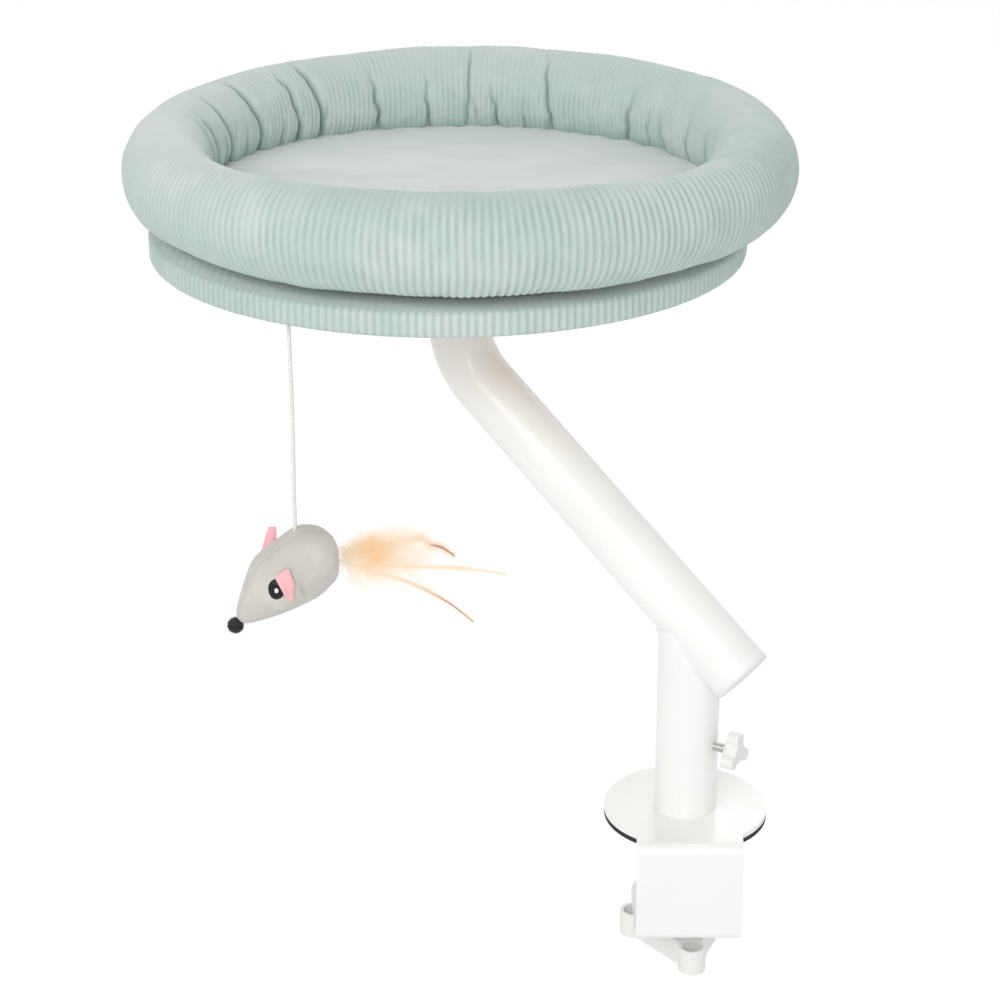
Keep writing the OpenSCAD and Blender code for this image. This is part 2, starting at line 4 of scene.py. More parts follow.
import bmesh
import bpy
from mathutils import Matrix, Vector, noise
from mathutils.bvhtree import BVHTree


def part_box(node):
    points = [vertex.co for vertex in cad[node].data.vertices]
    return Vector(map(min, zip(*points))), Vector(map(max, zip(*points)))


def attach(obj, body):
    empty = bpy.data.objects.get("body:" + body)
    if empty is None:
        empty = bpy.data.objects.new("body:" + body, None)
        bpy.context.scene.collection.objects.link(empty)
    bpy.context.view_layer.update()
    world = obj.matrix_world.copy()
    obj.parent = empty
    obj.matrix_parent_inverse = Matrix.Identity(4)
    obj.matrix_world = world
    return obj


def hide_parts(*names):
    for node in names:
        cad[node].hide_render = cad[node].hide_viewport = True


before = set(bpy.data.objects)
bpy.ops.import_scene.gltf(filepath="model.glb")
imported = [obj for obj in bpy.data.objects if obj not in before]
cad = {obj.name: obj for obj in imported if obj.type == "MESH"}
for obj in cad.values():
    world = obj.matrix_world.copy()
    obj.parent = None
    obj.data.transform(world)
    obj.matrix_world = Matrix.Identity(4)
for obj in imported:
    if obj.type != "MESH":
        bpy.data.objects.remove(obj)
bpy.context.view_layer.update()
mm = 0.001
turn = 2 * math.pi
print("frame loaded,", len(cad), "nodes")

# The bed's middle, and the way that the arm points from its post
baseMiddle = sum(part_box("base_cover"), Vector()) / 2
armTurn = math.radians(146)
armAlong = Vector((math.cos(armTurn), math.sin(armTurn), 0))
armSide = Vector((-armAlong.y, armAlong.x, 0))
up = Vector((0, 0, 1))


def addObject(name, data):
    added = bpy.data.objects.new(name, data)
    bpy.context.scene.collection.objects.link(added)
    return added


# Camera

camera = {"place": (-0.1144, -1.4077, 0.7782), "tilt": 67.98, "focalPixels": 2579, "imagePixels": 1000,
          "sees": 50}


def addCamera():
    data = bpy.data.cameras.new("photo_camera")
    data.sensor_width = 36
    data.lens = data.sensor_width * camera["focalPixels"] / camera["imagePixels"]
    data.clip_end = camera["sees"]
    seen = addObject("photo_camera", data)
    seen.location = camera["place"]
    seen.rotation_euler = (math.radians(camera["tilt"]), 0, 0)
    bpy.context.scene.camera = seen


addCamera()
print("camera placed")


# Shader maths

class Value:  # a socket's value that takes + - * and **
    def __init__(self, shader, socket):
        self.shader = shader
        self.socket = socket

    def maths(self, operation, *others):
        return self.shader.node("ShaderNodeMath", {"operation": operation}, (self, *others))

    def __add__(self, other):
        return self.maths("ADD", other)

    __radd__ = __add__

    def __mul__(self, other):
        return self.maths("MULTIPLY", other)

    __rmul__ = __mul__

    def __sub__(self, other):
        return self.maths("SUBTRACT", other)

    def __rsub__(self, other):
        return self.shader.node("ShaderNodeMath", {"operation": "SUBTRACT"}, (other, self))

    def __pow__(self, other):
        return self.maths("POWER", other)

    def clamp(self):
        return self.shader.node("ShaderNodeClamp", {}, (self,))


class Shader:  # the nodes of a new material, or of a world
    def __init__(self, name, world=None):
        self.owner = world or bpy.data.materials.new(name)
        self.owner.use_nodes = True
        self.tree = self.owner.node_tree
        self.tree.nodes.clear()
        self.place = None if world else self.node("ShaderNodeTexCoord", output="Object")

    def node(self, kind, settings=None, inputs=(), output=0):  # output: one name or number, or several
        made = self.tree.nodes.new(kind)
        for key, value in (settings or {}).items():
            setattr(made, key, value)
        named = inputs.items() if isinstance(inputs, dict) else enumerate(inputs)
        for key, value in named:
            if isinstance(value, Value):
                self.tree.links.new(value.socket, made.inputs[key])
            else:
                made.inputs[key].default_value = value
        if isinstance(output, tuple):
            return [Value(self, made.outputs[name]) for name in output]
        return Value(self, made.outputs[output]) if made.outputs else None

    def noise(self, scale, detail=2, roughness=0.5, place=None):
        inputs = {"Vector": place or self.place, "Scale": scale, "Detail": detail, "Roughness": roughness}
        return self.node("ShaderNodeTexNoise", {}, inputs, "Fac")

    def cells(self, scale, place=None):
        inputs = {"Vector": place or self.place, "Scale": scale}
        return self.node("ShaderNodeTexVoronoi", {}, inputs, "Distance")

    def stretched(self, scales):
        return self.node("ShaderNodeMapping", {}, {"Vector": self.place, "Scale": scales})

    def attribute(self, name):
        return self.node("ShaderNodeAttribute", {"attribute_name": name}, output="Fac")

    def axes(self):
        return self.node("ShaderNodeSeparateXYZ", {}, (self.place,), ("X", "Y", "Z"))

    def ramp(self, share, *stops):
        made = self.node("ShaderNodeValToRGB", {}, (share,))
        elements = made.socket.node.color_ramp.elements
        while len(elements) < len(stops):
            elements.new(0.5)
        for element, (place, colour) in zip(elements, stops):
            element.position = place
            element.color = colour
        return made

    def remap(self, value, low, high, start=0.0, end=1.0):
        inputs = {"Value": value, "From Min": low, "From Max": high, "To Min": start, "To Max": end}
        return self.node("ShaderNodeMapRange", {"interpolation_type": "SMOOTHSTEP"}, inputs)

    def mix(self, share, first, second):  # of two colours
        return self.node("ShaderNodeMix", {"data_type": "RGBA"}, {0: share, 6: first, 7: second}, 2)

    def bump(self, height, depth, strength):  # depth in metres
        return self.node("ShaderNodeBump", {}, {"Height": height, "Distance": depth, "Strength": strength})

    def show(self, surface, kind="ShaderNodeOutputMaterial"):
        self.node(kind, {}, {"Surface": surface})
        return self.owner

    def finish(self, colour, roughness, normal=None, **fixed):
        inputs = {"Base Color": colour, "Roughness": roughness}
        if normal:
            inputs["Normal"] = normal
        for name, value in fixed.items():
            inputs[fixedNames[name]] = value
        return self.show(self.node("ShaderNodeBsdfPrincipled", {}, inputs))


fixedNames = {  # sockets that keep one value all over a finish, but for the glow's colour
    "metallic": "Metallic", "sheen": "Sheen Weight", "sheenRoughness": "Sheen Roughness",
    "sheenTint": "Sheen Tint", "coat": "Coat Weight", "coatRoughness": "Coat Roughness",
    "specular": "Specular IOR Level", "scatter": "Subsurface Weight", "scatterScale": "Subsurface Scale",
    "glow": "Emission Color", "glowStrength": "Emission Strength",
}


def tint(red, green, blue):  # a colour as a picture editor shows it, made linear
    def linear(share):
        return share / 12.92 if share <= 0.04045 else ((share + 0.055) / 1.055) ** 2.4
    return (linear(red / 255), linear(green / 255), linear(blue / 255), 1)


# Materials

def powderCoat():
    s = Shader("white_powder_coat")
    peel = s.noise(1100)
    soft = s.noise(14, 3)
    colour = s.mix(s.remap(soft, 0.2, 0.8), tint(246, 246, 244), tint(250, 250, 248))
    return s.finish(colour, 0.3 + soft * 0.06, s.bump(peel, 0.00004, 0.3), coat=0.35, coatRoughness=0.1)


def mouldedPlastic():
    s = Shader("moulded_white_plastic")
    grain = s.noise(1400, 3)
    soft = s.noise(24)
    colour = s.mix(s.remap(soft, 0.3, 0.7), tint(238, 238, 235), tint(244, 244, 241))
    return s.finish(colour, 0.34 + soft * 0.14, s.bump(grain, 0.00006, 0.3), scatter=0.08,
                    scatterScale=0.003)


def zincPlate():
    s = Shader("zinc_plated_steel")
    streaks = s.noise(220, 4, 0.6, s.stretched((1, 1, 6)))
    spots = s.noise(45, 3)
    colour = s.mix(s.remap(spots, 0.35, 0.65), (0.56, 0.56, 0.55, 1), (0.7, 0.7, 0.68, 1))
    return s.finish(colour, 0.22 + streaks * 0.22, s.bump(streaks, 0.00004, 0.3), metallic=1.0)


def foamRubber():
    s = Shader("black_foam_rubber")
    cells = s.cells(1800)
    spots = s.noise(300, 4)
    colour = s.mix(spots, (0.012, 0.012, 0.013, 1), (0.035, 0.035, 0.037, 1))
    return s.finish(colour, 0.75 + spots * 0.2, s.bump(cells * 0.5 + spots, 0.0003, 0.6))


def particleBoard():
    s = Shader("particle_board")
    chips = s.cells(260, place=s.stretched((1, 1.6, 1)))
    grain = s.noise(420, 5, 0.65)
    colour = s.ramp(chips * 0.9 + grain * 0.5, (0.2, (0.3, 0.19, 0.1, 1)), (0.55, (0.52, 0.37, 0.22, 1)),
                    (0.9, (0.66, 0.5, 0.33, 1)))
    return s.finish(colour, 0.7 + grain * 0.2, s.bump(grain, 0.0003, 0.5))


def hookTape():
    s = Shader("hook_and_loop_tape")
    x, y, _ = s.axes()
    rows = (x * 5200).maths("SINE") * 0.5 + (y * 5200).maths("SINE") * 0.5
    colour = s.mix(s.remap(rows, -0.6, 0.8), tint(190, 200, 196), tint(226, 232, 229))
    return s.finish(colour, 0.85, s.bump(rows, 0.0005, 0.8), sheen=0.3)


def corduroy(name, flatWales=None):  # flatWales: spacing of the wales where the base's cloth lies flat
    s = Shader(name)
    groove = s.attribute("groove")
    crease = s.attribute("crease")
    pile = s.noise(1500, 3, 0.6)
    nap = s.noise(11, 3, 0.55)
    patches = s.noise(38, 3)
    if flatWales:
        flat = s.attribute("flatCloth")
        rows = (s.axes()[0] * (turn / flatWales)).maths("COSINE") * 0.5 + 0.5
        # painted shade: the grooves of the flat cloth are painted darker too
        groove = groove + flat * (1 - rows) ** 2.0
    light = s.mix(s.remap(nap + (patches - 0.5) * 0.5, 0.36, 0.66), tint(189, 205, 200), tint(205, 215, 210))
    # painted shade: the grooves between the wales are painted darker
    colour = s.mix((groove * 0.62).clamp(), light, tint(156, 178, 172))
    # painted light: where the base's cloth lies flat it is painted much paler, which lights the strip in the
    # ring's shadow
    if flatWales:
        colour = s.mix(flat * 0.92, colour, tint(238, 245, 241))
    # painted light: the ring's cloth is painted paler where the light falls on it
    colour = s.mix((s.attribute("paintedLight") * 0.6).clamp(), colour, tint(226, 230, 226))
    # painted shade: darker in the creases and along the seam
    colour = s.mix((crease * 0.9).clamp(), colour, tint(86, 116, 110))
    colour = s.mix(s.remap(pile, 0.35, 0.7, 0, 0.22), colour, tint(214, 224, 219))
    height = pile * 0.35 - groove * (0.9 if flatWales else 0.25)
    return s.finish(colour, 0.82 + (pile - 0.5) * 0.1, s.bump(height, 0.0003, 0.7),
                    sheen=0.35, sheenRoughness=0.45, sheenTint=tint(226, 240, 236), specular=0.2)


def plushFloor():
    s = Shader("pale_plush")
    pile = s.noise(1700, 4, 0.65)
    clumps = s.noise(210, 3, 0.6)
    brushed = s.noise(14, 3, 0.5, s.stretched((1, 2.2, 1)))
    colour = s.mix(s.remap(brushed, 0.35, 0.65), tint(208, 216, 211), tint(218, 224, 220))
    colour = s.mix(s.remap(pile, 0.3, 0.7, 0, 0.3), colour, tint(221, 227, 223))
    return s.finish(colour, 0.9, s.bump(pile * 0.6 + clumps * 0.6, 0.0004, 0.6), sheen=0.45,
                    sheenRoughness=0.5, specular=0.15)


def whiteString():
    s = Shader("white_string")
    x, y, z = s.axes()
    fibre = s.noise(4200, 2, 0.5, s.stretched((1, 1, 0.25)))
    plait = (z * 2600).maths("SINE") * (x * 5200 + y * 5200).maths("SINE")
    colour = s.mix(s.remap(plait, -1, 1), tint(226, 226, 222), tint(246, 246, 243))
    return s.finish(colour, 0.8 + fibre * 0.1, s.bump(plait + fibre * 0.5, 0.0002, 0.6), sheen=0.2)


def greyPlush():
    s = Shader("grey_plush")
    pile = s.noise(2300, 4, 0.65)
    clumps = s.noise(260, 3, 0.6)
    brushed = s.noise(55, 3)
    seam = s.attribute("seam")
    colour = s.mix(s.remap(brushed, 0.3, 0.7), tint(200, 196, 189), tint(213, 210, 204))
    colour = s.mix(s.remap(pile, 0.3, 0.7, 0, 0.35), colour, tint(224, 221, 216))
    # darker along the seams, and painted shade in the fold by the ear
    colour = s.mix((seam * 0.6).clamp(), colour, tint(160, 156, 152))
    return s.finish(colour, 0.9, s.bump(pile * 0.6 + clumps * 0.4 - seam, 0.0003, 0.6), sheen=0.4,
                    sheenRoughness=0.5, specular=0.15)


def blackPompom():
    s = Shader("black_pompom")
    tufts = s.noise(900, 3, 0.6)
    colour = s.mix(tufts, (0.008, 0.008, 0.009, 1), (0.03, 0.03, 0.032, 1))
    return s.finish(colour, 0.85, s.bump(tufts, 0.0004, 0.8), sheen=0.2)


def buttonBlack():
    s = Shader("glossy_black_button")
    swirl = s.noise(400)
    colour = s.mix(swirl, (0.004, 0.004, 0.004, 1), (0.01, 0.009, 0.009, 1))
    return s.finish(colour, 0.34 + swirl * 0.1, s.bump(swirl, 0.00003, 0.3), specular=0.3)


# painted highlight: white dots put on the eye buttons as their glints
def paintedGlint():
    s = Shader("painted_eye_glint")
    swirl = s.noise(500)
    colour = s.mix(swirl, tint(226, 222, 226), tint(243, 240, 243))
    return s.finish(colour, 0.3 + swirl * 0.1, s.bump(swirl, 0.00003, 0.3))


def pinkFelt():
    s = Shader("pink_felt")
    fibres = s.noise(1900, 5, 0.7)
    patches = s.noise(120, 3)
    colour = s.mix(s.remap(patches, 0.3, 0.7), tint(246, 176, 184), tint(252, 194, 200))
    colour = s.mix(s.remap(fibres, 0.35, 0.7, 0, 0.4), colour, tint(255, 212, 216))
    return s.finish(colour, 0.92, s.bump(fibres, 0.0003, 0.7), sheen=0.3)


def featherDown():
    s = Shader("peach_down")
    depth = s.attribute("depth")
    mottle = s.noise(120, 3)
    colour = s.mix(s.remap(mottle, 0.35, 0.65), tint(255, 226, 174), tint(254, 214, 152))
    colour = s.mix((depth * 1.6 - 0.2).clamp(), colour, tint(255, 241, 222))
    # painted light: the down glows faintly in its own colour, standing in for the light that its dense barbs
    # shade from each other
    return s.finish(colour, 0.7 + mottle * 0.1, glow=colour, glowStrength=0.07)


def featherVane():
    s = Shader("feather_vane")
    brown = s.attribute("brown")
    barbs = s.noise(900)
    colour = s.mix(barbs, tint(255, 240, 216), tint(252, 228, 198))
    colour = s.mix(brown.clamp(), colour, tint(146, 84, 62))
    # painted light: the vanes glow faintly in their own colour, standing in for light lost in their own shade
    return s.finish(colour, 0.55 + barbs * 0.15, s.bump(barbs, 0.0001, 0.4), glow=colour, glowStrength=0.05)


looks = {
    "powderCoat": powderCoat(), "plastic": mouldedPlastic(), "zinc": zincPlate(), "foam": foamRubber(),
    "board": particleBoard(), "tape": hookTape(), "ringCloth": corduroy("ring_corduroy"),
    "baseCloth": corduroy("base_corduroy", 4.7 * mm), "plush": plushFloor(), "string": whiteString(),
    "mouse": greyPlush(), "pompom": blackPompom(), "button": buttonBlack(), "glint": paintedGlint(),
    "felt": pinkFelt(), "down": featherDown(), "vane": featherVane(),
}
nodeLooks = {
    "powderCoat": ("clamp_bracket", "swivel_foot", "upright_sleeve", "support_arm", "mount_flange"),
    "plastic": ("clamp_knob", "arm_end_cap", "thumb_knob"),
    "zinc": ("inner_post", "clamp_nut", "thrust_washer", "clamp_screw", "flange_screws", "thumb_stud",
             "string_staple"),
    "foam": ("desk_pad", "foot_pad"), "board": ("base_board",), "tape": ("hook_patches", "loop_patches"),
}
for look, nodes in nodeLooks.items():
    for node in nodes:
        cad[node].data.materials.clear()
        cad[node].data.materials.append(looks[look])
print("materials ready,", len(looks))


# Pieces

def asMesh(made, name):
    mesh = bpy.data.meshes.new(name)
    made.to_mesh(mesh)
    made.free()
    return mesh


def join(piece, body, slot, *replaced):  # to its body, hiding the solids that it stands for; the slot is not used
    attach(piece, body)
    if replaced:
        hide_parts(*replaced)
    return piece


def asPiece(made, name, look, body, slot, *replaced, angle=35, place=None):
    if place:
        bmesh.ops.transform(made, matrix=place, verts=made.verts)
    bmesh.ops.recalc_face_normals(made, faces=made.faces)
    mesh = asMesh(made, name)
    mesh.materials.append(looks[look])
    for face in mesh.polygons:
        face.use_smooth = True
    mesh.set_sharp_from_angle(angle=math.radians(angle))
    return join(addObject(name, mesh), body, slot, *replaced)


def addInto(made, part):
    held = asMesh(part, "held")
    made.from_mesh(held)
    bpy.data.meshes.remove(held)


def shapedGrid(columns, rows, shape, *shares):
    # A sheet of columns by rows, bent by shape(u, v), which gives a place and a value for each share
    made = bmesh.new()
    bmesh.ops.create_grid(made, x_segments=columns, y_segments=rows, size=0.5)
    layers = [made.verts.layers.float.new(name) for name in shares]
    for vert in made.verts:
        vert.co, *values = shape(round(vert.co.x + 0.5, 6), round(vert.co.y + 0.5, 6))
        for layer, value in zip(layers, values):
            vert[layer] = value
    bmesh.ops.remove_doubles(made, verts=made.verts, dist=0.01 * mm)
    return made


def wrapped(degrees):  # the same angle from -180 to 180
    return (degrees + 180) % 360 - 180


def smoothStep(low, high, value):
    share = min(1, max(0, (value - low) / (high - low)))
    return share * share * (3 - 2 * share)


def bell(value, width, power=2.0):
    return math.exp(-abs(value / width) ** power)


def lumps(seed, *places):
    return noise.noise(Vector((*places, 0, 0)[:3]) + Vector((seed * 3.1, seed * 7.7, seed * 1.3)))


def through(points, share):  # a smooth curve through a list of points, from 0 to 1
    steps = len(points) - 1
    at = min(max(share, 0) * steps, steps - 1e-6)
    i = int(at)
    t = at - i
    a, b, c, d = (Vector(points[min(max(i + k, 0), steps)]) for k in (-1, 0, 1, 2))
    straight = b + (c - a) * (t / 2)
    return straight + (a * 2 - b * 5 + c * 4 - d) * (t * t / 2) + (b * 3 - a - c * 3 + d) * (t ** 3 / 2)


def ribbon(made, layer, places, widths, facing, values):  # a thin flat blade, with a value at each place
    last = None
    for place, width, value in zip(places, widths, values):
        pair = (made.verts.new(place - facing * width), made.verts.new(place + facing * width))
        for vert in pair:
            vert[layer] = value
        if last:
            made.faces.new((last[0], last[1], pair[1], pair[0]))
        last = pair


def dicePoint(dice, spread=1.0):
    return Vector((dice.gauss(0, spread), dice.gauss(0, spread), dice.gauss(0, spread)))


# The string comes first, from the staple under the bed to the mouse's back

toyString = {
    "diameter": 2.2 * mm, "staple": Vector((-0.23284, -0.03136, 0.33334)), "loopRadius": 2.6 * mm,
    "loopDrop": 1.2 * mm, "topKnot": 2.3 * mm, "topKnotDrop": 3.3 * mm, "endKnot": 1.7 * mm,
    "drop": 131.62 * mm,  # from the staple to the mouse's back
    # Points of the route in mm from the staple
    "route": [
        (0, 0, -5.7), (0, 0, -10), (0.1, 0, -20), (0.2, 0.1, -30), (0.3, 0.1, -40), (0.4, 0.2, -50),
        (0.4, 0.2, -60), (0.4, 0.1, -70), (0.3, 0.1, -80), (0.2, 0, -90), (0.1, 0, -100), (0, 0, -110),
        (0, 0, -120), (0, 0, -129.7),
    ],
}
mouseTop = toyString["staple"] - up * toyString["drop"]


def addString():
    route = [toyString["staple"] + Vector(point) * mm for point in toyString["route"]]
    data = bpy.data.curves.new("toy_string_cord", "CURVE")
    data.dimensions = "3D"
    data.bevel_depth = toyString["diameter"] / 2
    data.bevel_resolution = 6
    line = data.splines.new("POLY")
    line.points.add(len(route) - 1)
    for point, place in zip(line.points, route):
        point.co = (*place, 1)
    data.use_fill_caps = True
    data.materials.append(looks["string"])
    cord = join(addObject("toy_string_cord", data), "toy_string", "white_string", "toy_string")
    return cord, route, sum((b - a).length for a, b in zip(route, route[1:]))


def tubeAlong(made, places, thick, sides, closed=True):  # thick(share) gives the radius along the line
    rings = []
    for i, place in enumerate(places):
        before, after = places[i - 1], places[(i + 1) % len(places)]
        if not closed:
            before, after = places[max(i - 1, 0)], places[min(i + 1, len(places) - 1)]
        spin = (after - before).to_track_quat("Z", "Y").to_matrix().to_4x4()
        ring = bmesh.ops.create_circle(made, segments=sides, radius=thick(i / len(places)),
                                       matrix=Matrix.Translation(place) @ spin)["verts"]
        rings.append(ring)
    pairs = list(zip(rings, rings[1:])) + ([(rings[-1], rings[0])] if closed else [])
    for here, ahead in pairs:  # each ring starts at its own turn, so the nearest points are joined
        shift = min(range(sides), key=lambda k: (here[0].co - ahead[k].co).length)
        for j in range(sides):
            k = (j + 1) % sides
            made.faces.new((here[j], here[k], ahead[(k + shift) % sides], ahead[(j + shift) % sides]))
    if not closed:
        made.faces.new(rings[0])
        made.faces.new(rings[-1])


def trefoil(a):
    return Vector((math.sin(a) + 2 * math.sin(2 * a), -math.sin(3 * a) * 1.3,
                   math.cos(a) - 2 * math.cos(2 * a)))


def narrowLoop(a):
    return Vector((math.sin(a) * 0.62, 0.1 * math.sin(2 * a), math.cos(a)))


def addTwist(name, body, middle, line, size, steps, thick, sides, *replaced):  # string along a closed line
    made = bmesh.new()
    places = [middle + line(turn * i / steps) * size for i in range(steps)]
    tubeAlong(made, places, lambda share: thick, sides)
    return asPiece(made, name, "string", body, "white_string", *replaced)


def addKnot(name, body, middle, radius, replaced):
    return addTwist(name, body, middle, trefoil, radius * 0.2, 96, radius * 0.48, 12, replaced)


cord, cordRoute, cordLength = addString()
topKnot = addKnot("string_loop_knot", "toy_knot", toyString["staple"] - up * toyString["topKnotDrop"],
                  toyString["topKnot"], "string_top_knot")
endKnot = addKnot("string_back_knot", "toy_string", mouseTop, toyString["endKnot"], "string_end_knot")
loop = addTwist("string_loop", "toy_knot", toyString["staple"] - up * toyString["loopDrop"], narrowLoop,
                toyString["loopRadius"], 48, toyString["diameter"] * 0.36, 10)  # goes over the staple
print("string", round(cordLength / mm), "mm long")


# White and zinc pieces with their edges eased, real threads on both screws, and the arm's weld

eased = {
    # Node: look, body, slot and the width of its eased edges
    "clamp_bracket": ("powderCoat", "clamp", "white_coat", 0.8 * mm),
    "clamp_knob": ("plastic", "clamp_screw", "white_plastic", 1.0 * mm),
    "thumb_knob": ("plastic", "thumb_knob", "white_plastic", 0.8 * mm),
    "swivel_foot": ("powderCoat", "pressure_foot", "white_coat", 0.6 * mm),
    "mount_flange": ("powderCoat", "arm", "white_coat", 0.5 * mm),
    "desk_pad": ("foam", "clamp", "foam_rubber", 0.6 * mm),
}
screws = {
    # Node: body, radius, pitch and depth of the thread
    "clamp_screw": ("clamp_screw", 5 * mm, 2 * mm, 1.1 * mm),
    "thumb_stud": ("thumb_stud", 3 * mm, 1 * mm, 0.55 * mm),
}
threadSides = 40
screwTip = 3.2 * mm  # radius of the plain end that turns in the foot
weld = {
    "tube": 19 * mm, "height": 132.6 * mm, "lean": math.radians(51.6), "thick": 0.95 * mm, "gap": (143, 166),
    "outward": 0.25 * mm, "steps": 260,
}


def addEased(node):
    look, body, slot, edge = eased[node]
    made = bmesh.new()
    made.from_mesh(cad[node].data)
    bmesh.ops.remove_doubles(made, verts=made.verts, dist=0.01 * mm)
    bmesh.ops.dissolve_limit(made, angle_limit=math.radians(0.5), verts=made.verts, edges=made.edges)
    corners = [line for line in made.edges if len(line.link_faces) == 2
               and line.calc_face_angle() > math.radians(40)]
    bmesh.ops.bevel(made, geom=corners, offset=edge, segments=3, affect="EDGES", profile=0.5, material=-1,
                    clamp_overlap=True)
    piece = asPiece(made, node + "_eased", look, body, slot, node, angle=40)
    shading = piece.modifiers.new("weighted_normal", "WEIGHTED_NORMAL")
    shading.weight, shading.keep_sharp = 90, True
    bpy.context.view_layer.objects.active = piece
    bpy.ops.object.modifier_apply(modifier=shading.name)


def addThread(node):
    body, radius, pitch, depth = screws[node]
    low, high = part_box(node)
    middle = (low + high) / 2
    if node == "clamp_screw":  # threaded up to the washer, then plain where it turns in the foot
        way, length = up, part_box("thrust_washer")[0].z - low.z
        start = Vector((middle.x, middle.y, low.z))
    else:
        way = Vector((middle.x, middle.y, 0)).normalized()
        length = (high.x - low.x - 2 * radius * abs(way.y)) / abs(way.x)
        start = middle - way * length / 2
    rows = round(length / pitch) * 8  # eight to a turn

    def shape(u, v):
        step = v * (rows + 2)
        z = min(1, max(0, (step - 1) / rows)) * length
        if step < 0.5 or step > rows + 1.5:  # the first and last row close the ends
            return [Vector((0, 0, z))]
        ramp = abs(2 * ((z / pitch - u) % 1) - 1)
        ends = min(1, z / pitch, (length - z) / pitch)
        reach = radius - depth * (1 - min(1, max(0, ramp * 1.3 - 0.15))) * ends - depth * 0.6 * (1 - ends)
        return [Vector((reach * math.cos(u * turn), reach * math.sin(u * turn), z))]

    made = shapedGrid(threadSides, rows + 2, shape)
    if node == "clamp_screw":
        tip = bmesh.ops.create_cone(made, cap_ends=True, segments=threadSides, radius1=screwTip,
                                    radius2=screwTip, depth=high.z - low.z - length + 1 * mm)["verts"]
        bmesh.ops.translate(made, verts=tip, vec=(0, 0, (high.z - low.z + length - 1 * mm) / 2))
    spin = way.to_track_quat("Z", "Y").to_matrix().to_4x4()
    asPiece(made, node + "_thread", "zinc", body, "bright_steel", node, angle=40,
            place=Matrix.Translation(start) @ spin)


def addWeld():  # a bead where the upright's saddle meets the arm, with one short gap in it
    made = bmesh.new()
    dice = random.Random(4)
    places = []
    low, high = weld["gap"]
    steps = weld["steps"]
    for i in range(steps + 1):
        a = math.radians(high + (360 - high + low) * i / steps)
        along, across = weld["tube"] * math.cos(a), weld["tube"] * math.sin(a)
        drop = math.tan(weld["lean"] / 2) if along > 0 else 1 / math.tan(weld["lean"] / 2)
        places.append(armAlong * along + armSide * across + up * (weld["height"] - abs(along) * drop))
    places = [place + Vector((place.x, place.y, 0)).normalized() * weld["outward"] for place in places]
    for i in range(3):  # round the corners at the sides
        places[1:-1] = [(a + b * 2 + c) / 4 for a, b, c in zip(places, places[1:], places[2:])]
    ripple = [0.9 + 0.1 * math.sin(i * 1.9) + dice.uniform(-0.05, 0.05) for i in range(steps + 2)]
    tubeAlong(made, places, lambda share: weld["thick"] * ripple[round(share * steps)] * min(
        1, 0.3 + min(share, 1 - share) * 40), 10, closed=False)
    asPiece(made, "saddle_weld", "powderCoat", "arm", "white_coat", angle=180)


for node in eased:
    addEased(node)
for node in screws:
    addThread(node)
addWeld()
print("clamp and arm made")


# The stuffed ring

ring = {
    "middle": Vector((-0.13909, 0.09816, 0.3876)), "outer": 200 * mm, "halfWidth": 26.3 * mm,
    "halfHeight": 28.8 * mm, "wales": 268, "perWale": 6, "sides": 56, "waleDepth": 0.8 * mm,
    # Degrees round the section, from outside over the top: the seam, the wall above it, the underside
    "seam": 228, "wall": 142, "under": 300, "seamPull": 0.8,
    "hidden": 26, "seed": 7, "swells": (1.1, 0.45),
    # How much of their depth the wales keep, and what wear takes off it
    "walesKept": 0.95, "wearRandom": 0.5, "wearCrown": 0.55, "wearLeft": 0.45, "leastKept": 0.12,
    # Where the nap is painted paler as painted light, on the left and on the back of the crown where the light
    # falls; on the left wear also takes the wales down: place round the ring and spread in degrees
    "wornAndLitLeft": (190, 38), "litBack": (90, 75),
    # Where the ring was stuffed unevenly: place round the ring, spread in degrees, push in mm
    "outward": [(5, 55, 3.2)], "raised": [(75, 55, 3.4)], "slumped": [(318, 26, 4.6), (222, 24, 3.0)],
    # Each crease: its place round the ring, depth in mm, how far up it reaches, slant and width in degrees
    "creases": [
        (176, 1.8, 0.6, 5, 0.5), (172, 2.6, 0.8, 6, 0.5), (167, 3.4, 0.85, 7, 0.55),
        (161, 2.2, 0.6, 5, 0.45), (157, 4.4, 0.95, 7, 0.6), (151, 2.6, 0.55, 5, 0.45),
        (144.5, 5.0, 1.05, 6, 0.6), (138, 2.8, 0.5, 3, 0.5), (132, 4.4, 0.95, 5, 0.55),
        (125, 5.2, 1.05, 5, 0.6), (118, 1.8, 0.4, -2, 0.4), (110, 4.6, 0.75, 4, 0.5),
        (98, 4.2, 0.65, 2, 0.45), (89, 2.6, 1.0, -1, 0.4), (86, 1.6, 0.6, 2, 0.4), (81, 4.6, 0.6, 4, 0.5),
        (75, 1.6, 0.5, -2, 0.4), (67, 4.4, 0.9, 4, 0.5), (57, 1.4, 0.45, -2, 0.6), (47, 3.6, 0.65, -4, 0.9),
        (40, 1.8, 0.6, -4, 0.6), (34, 5.0, 0.5, 1, 0.8), (24, 2.4, 0.6, -5, 0.8), (11, 4.2, 0.55, -3, 1.1),
    ],
}


def ringCreases():
    dice = random.Random(ring["seed"])
    creases = list(ring["creases"])
    for i in range(ring["hidden"]):  # the front of the inner wall, which the photo hides
        place = 184 + 172 * (i + dice.uniform(0.2, 0.8)) / ring["hidden"]
        creases.append((place, dice.uniform(2, 4.6), dice.uniform(0.35, 0.85), dice.uniform(-5, 5),
                        dice.uniform(0.4, 0.7)))
    for place, depth, reach, slant, width in list(creases):
        if depth > 4:  # deep creases fork near the seam
            creases.append((place + 1.6, depth * 0.55, reach * 0.5, slant - 7, width * 0.8))
    return creases


